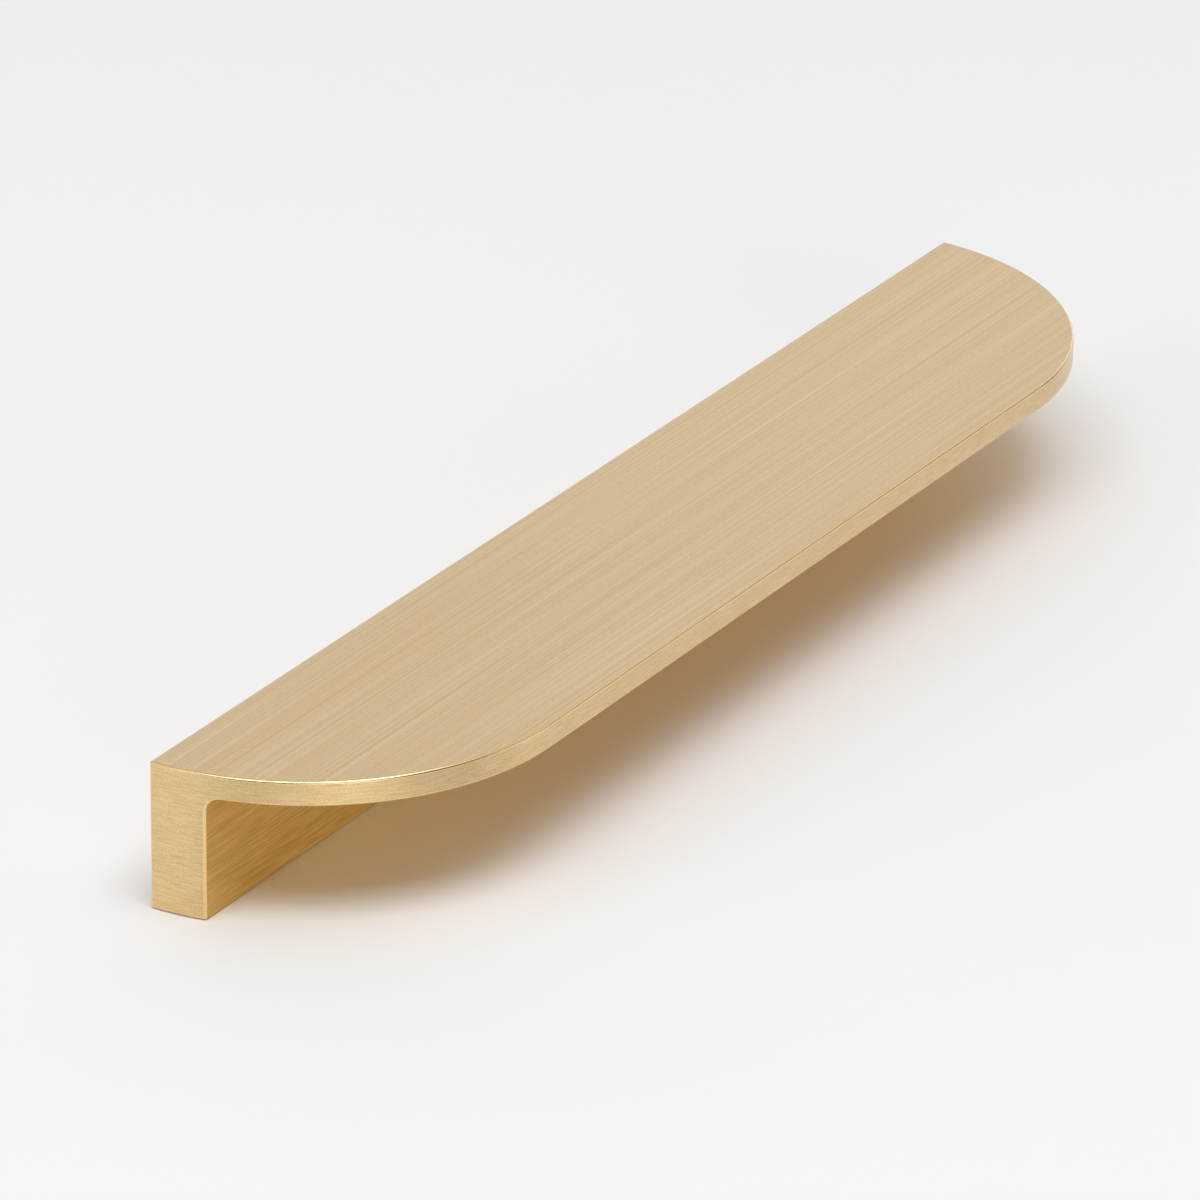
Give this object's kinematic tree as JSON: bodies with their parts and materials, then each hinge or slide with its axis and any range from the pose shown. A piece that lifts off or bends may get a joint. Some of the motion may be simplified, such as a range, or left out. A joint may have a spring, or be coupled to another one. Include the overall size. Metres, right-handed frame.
{
  "type": "cabinet pull",
  "caption": "Brushed brass cabinet pull of L section: a broad flange with quarter-round ends stands off the door on a slim leg that is screwed on from behind.",
  "frame": {"origin": "on the foot's bottom face, midway between the two screw holes", "axes": "+X along the pull, -Y towards the flange's free edge, +Z away from the door or drawer front"},
  "size_m": [0.2, 0.037, 0.021],
  "materials": {
    "brass": "brushed along the length, satin lacquered"
  },
  "bodies": {
    "root": {"pull": "brass"}
  },
  "joints": []
}
